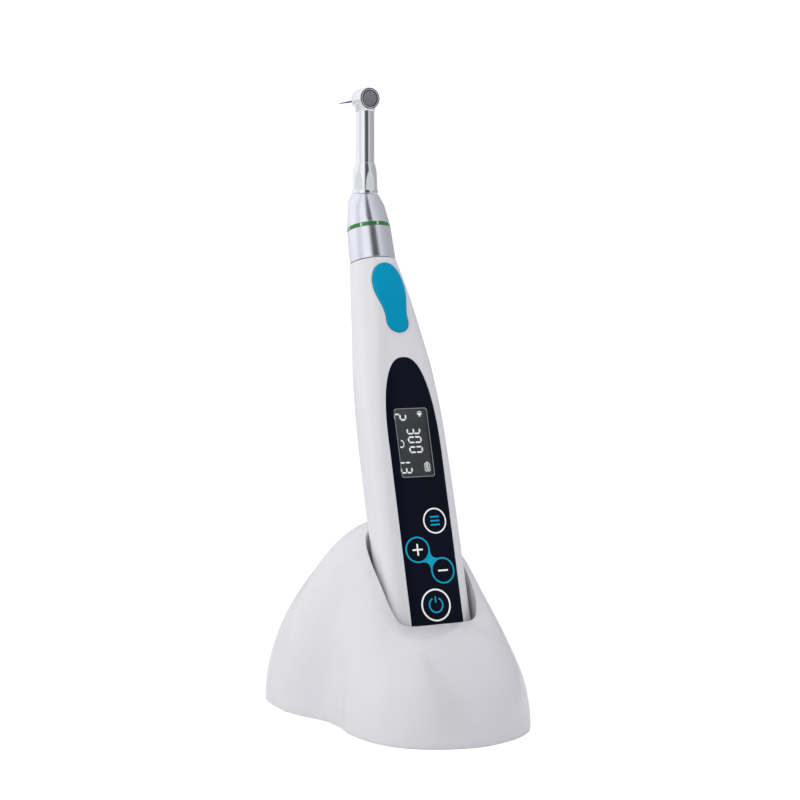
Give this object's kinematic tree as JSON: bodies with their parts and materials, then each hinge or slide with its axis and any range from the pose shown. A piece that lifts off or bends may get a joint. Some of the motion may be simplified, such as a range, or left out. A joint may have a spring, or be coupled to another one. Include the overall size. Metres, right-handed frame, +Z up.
{
  "type": "endodontic motor",
  "caption": "Cordless endodontic motor with display, keys and a bent contra-angle that holds a root canal file, standing in its charging base.",
  "frame": {"origin": "centre of the footprint of the object's box, on the surface that the rubber feet stand on", "axes": "+Z up; the front, which the panel and the keys face, is -Y and the file points to +Y; +X to the right of someone facing the panel"},
  "size_m": [0.0862, 0.123, 0.2418],
  "materials": {
    "white_plastic": "glossy moulded",
    "inner_white": "fine matte",
    "panel_black": "smooth keypad film",
    "display_glass": "clear window over a dark display",
    "trigger_blue": "satin moulded",
    "satin_nickel": "satin nickel plate",
    "chrome": "polished",
    "ring_green": "gloss enamel",
    "cap_grey": "satin",
    "steel": "turned",
    "file_metal": "blue heat-treated nickel-titanium",
    "brass": "turned or gold plated",
    "board_green": "solder mask",
    "battery_wrap": "shrink wrap over a metal can",
    "rubber": "matte",
    "black_plastic": "fine matte"
  },
  "bodies": {
    "base": {"base_dome": "white_plastic", "cradle": "inner_white", "base_plate": "inner_white", "rubber_foot_front_left": "rubber", "rubber_foot_front_right": "rubber", "rubber_foot_rear_left": "rubber", "rubber_foot_rear_right": "rubber", "base_screw_left": "steel", "base_screw_right": "steel", "ballast_plate": "steel", "charge_board": "board_green", "pin_holder": "black_plastic", "power_inlet": "black_plastic"},
    "charge_pin_left": {"charge_pin_left": "brass"},
    "charge_pin_right": {"charge_pin_right": "brass"},
    "handpiece": {"front_shell": "white_plastic", "rear_shell": "white_plastic", "end_cap": "white_plastic", "shell_screw": "steel", "display_panel": "panel_black", "display_lens": "display_glass", "lcd_module": "black_plastic", "main_board": "board_green", "key_mat": "rubber", "battery": "battery_wrap", "battery_contact": "brass", "charge_contact_left": "brass", "charge_contact_right": "brass", "motor_can": "steel", "motor_mount": "black_plastic", "motor_nose": "steel", "nose_seal": "rubber", "trigger_switch": "black_plastic"},
    "trigger": {"trigger_button": "trigger_blue"},
    "program_key": {"program_key": "panel_black"},
    "plus_key": {"plus_key": "panel_black"},
    "minus_key": {"minus_key": "panel_black"},
    "power_key": {"power_key": "panel_black"},
    "motor_shaft": {"motor_shaft": "steel"},
    "latch": {"latch_ring": "brass"},
    "contra_angle": {"lower_sheath": "satin_nickel", "ratio_ring": "ring_green", "upper_sheath": "satin_nickel", "lock_nut": "chrome", "head_shell": "chrome", "head_ring": "chrome", "ring_gear": "steel", "input_bearing": "brass", "bend_bushing": "brass", "neck_bushing": "brass", "head_bearing": "steel"},
    "input_shaft": {"input_shaft": "steel"},
    "planet_carrier": {"planet_carrier": "steel"},
    "planet_gear_1": {"planet_gear_1": "brass"},
    "planet_gear_2": {"planet_gear_2": "brass"},
    "planet_gear_3": {"planet_gear_3": "brass"},
    "neck_shaft": {"neck_shaft": "steel"},
    "chuck": {"chuck_spindle": "steel"},
    "head_cap": {"head_cap": "cap_grey"},
    "file": {"endo_file": "file_metal"}
  },
  "joints": [
    {"name": "handpiece_lift", "type": "slide", "parent": "base", "child": "handpiece", "axis": [0, 0.2756, 0.9613], "range_m": [0, 0.07]},
    {"name": "charge_pin_left_press", "type": "slide", "parent": "base", "child": "charge_pin_left", "axis": [0, 0.2756, 0.9613], "range_m": [-0.001, 0], "stiffness_N_per_m": 300},
    {"name": "charge_pin_right_press", "type": "slide", "parent": "base", "child": "charge_pin_right", "axis": [0, 0.2756, 0.9613], "range_m": [-0.001, 0], "stiffness_N_per_m": 300},
    {"name": "trigger_press", "type": "slide", "parent": "handpiece", "child": "trigger", "axis": [0, 0.9613, -0.2756], "range_m": [0, 0.0006], "stiffness_N_per_m": 800},
    {"name": "program_key_press", "type": "slide", "parent": "handpiece", "child": "program_key", "axis": [0, 0.9613, -0.2756], "range_m": [0, 0.0004], "stiffness_N_per_m": 1200},
    {"name": "plus_key_press", "type": "slide", "parent": "handpiece", "child": "plus_key", "axis": [0, 0.9613, -0.2756], "range_m": [0, 0.0004], "stiffness_N_per_m": 1200},
    {"name": "minus_key_press", "type": "slide", "parent": "handpiece", "child": "minus_key", "axis": [0, 0.9613, -0.2756], "range_m": [0, 0.0004], "stiffness_N_per_m": 1200},
    {"name": "power_key_press", "type": "slide", "parent": "handpiece", "child": "power_key", "axis": [0, 0.9613, -0.2756], "range_m": [0, 0.0004], "stiffness_N_per_m": 1200},
    {"name": "motor_spin", "type": "hinge", "parent": "handpiece", "child": "motor_shaft", "pos_m": [0, 0.0293, 0.1734], "axis": [0, 0.2756, 0.9613], "continuous": true},
    {"name": "contra_pull", "type": "slide", "parent": "handpiece", "child": "latch", "axis": [0, 0.2756, 0.9613], "range_m": [0, 0.03]},
    {"name": "contra_turn", "type": "hinge", "parent": "latch", "child": "contra_angle", "pos_m": [0, 0.0293, 0.1734], "axis": [0, 0.2756, 0.9613], "continuous": true},
    {"name": "input_spin", "type": "hinge", "parent": "contra_angle", "child": "input_shaft", "pos_m": [0, 0.0293, 0.1734], "axis": [0, 0.2756, 0.9613], "continuous": true},
    {"name": "carrier_spin", "type": "hinge", "parent": "contra_angle", "child": "planet_carrier", "pos_m": [0, 0.0293, 0.1734], "axis": [0, 0.2756, 0.9613], "continuous": true},
    {"name": "planet_1_spin", "type": "hinge", "parent": "planet_carrier", "child": "planet_gear_1", "pos_m": [0.00378, 0.0293, 0.1734], "axis": [0, 0.2756, 0.9613], "continuous": true},
    {"name": "planet_2_spin", "type": "hinge", "parent": "planet_carrier", "child": "planet_gear_2", "pos_m": [-0.00189, 0.03245, 0.1725], "axis": [0, 0.2756, 0.9613], "continuous": true},
    {"name": "planet_3_spin", "type": "hinge", "parent": "planet_carrier", "child": "planet_gear_3", "pos_m": [-0.00189, 0.02615, 0.1743], "axis": [0, 0.2756, 0.9613], "continuous": true},
    {"name": "neck_spin", "type": "hinge", "parent": "contra_angle", "child": "neck_shaft", "pos_m": [0, 0.0364, 0.21], "axis": [0, 0, 1], "continuous": true},
    {"name": "chuck_spin", "type": "hinge", "parent": "contra_angle", "child": "chuck", "pos_m": [0, 0.0366, 0.2375], "axis": [0, 1, 0], "continuous": true},
    {"name": "cap_press", "type": "slide", "parent": "contra_angle", "child": "head_cap", "axis": [0, 1, 0], "range_m": [0, 0.0008], "stiffness_N_per_m": 1500},
    {"name": "file_pull", "type": "slide", "parent": "chuck", "child": "file", "axis": [0, 1, 0], "range_m": [0, 0.015]}
  ],
  "couplings": [
    {"joint": "input_spin", "follows": "motor_spin", "ratio": 1},
    {"joint": "carrier_spin", "follows": "motor_spin", "ratio": 0.25},
    {"joint": "planet_1_spin", "follows": "motor_spin", "ratio": -0.75},
    {"joint": "planet_2_spin", "follows": "motor_spin", "ratio": -0.75},
    {"joint": "planet_3_spin", "follows": "motor_spin", "ratio": -0.75},
    {"joint": "neck_spin", "follows": "motor_spin", "ratio": 0.25},
    {"joint": "chuck_spin", "follows": "motor_spin", "ratio": -0.125}
  ]
}
